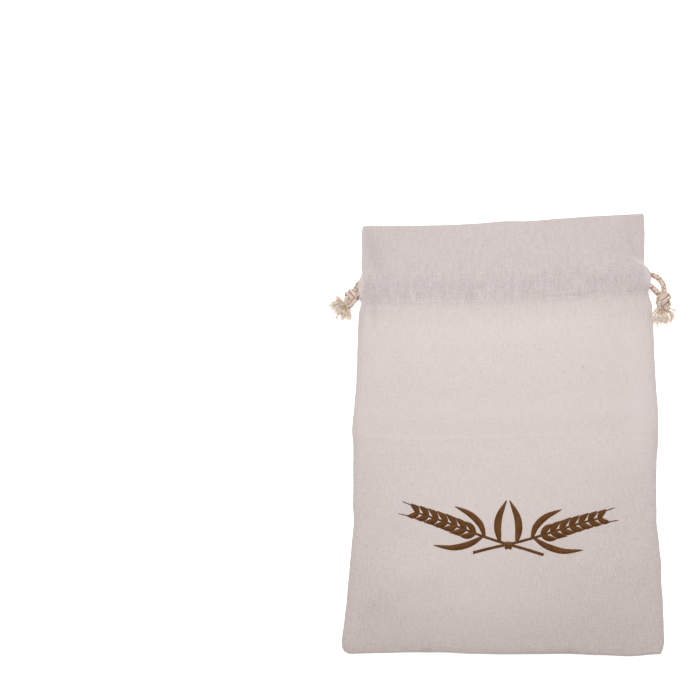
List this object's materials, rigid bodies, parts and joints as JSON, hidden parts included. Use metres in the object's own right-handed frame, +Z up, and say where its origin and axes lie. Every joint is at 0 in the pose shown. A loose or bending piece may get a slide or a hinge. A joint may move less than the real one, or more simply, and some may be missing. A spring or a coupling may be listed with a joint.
{
  "type": "linen drawstring bread bag",
  "caption": "Flat-lying cloth drawstring bag: sewn front and back panels, stitched heading and cord channel, and drawcords knotted and frayed at both sides.",
  "frame": {"origin": "centre of the two panels' bounding box, on the surface that the bag lies on; the cords, knots and frayed ends are left out of that box", "axes": "+Y from the bottom seam to the mouth, +X to the right as the front is looked at, +Z up out of the front panel"},
  "size_m": [0.3118, 0.398, 0.018],
  "materials": {
    "linen": "natural unbleached plain weave with slubs, matt, embroidered with a brown wheat sprig",
    "cotton_cord": "undyed three-ply twisted cotton, matt",
    "frayed_cotton": "undyed loose cotton fibres, matt"
  },
  "bodies": {
    "root": {"front_panel": "linen", "back_panel": "linen", "drawcord_left": "cotton_cord", "drawcord_right": "cotton_cord", "knot_left": "cotton_cord", "knot_right": "cotton_cord", "tassel_left": "frayed_cotton", "tassel_right": "frayed_cotton"}
  },
  "joints": []
}
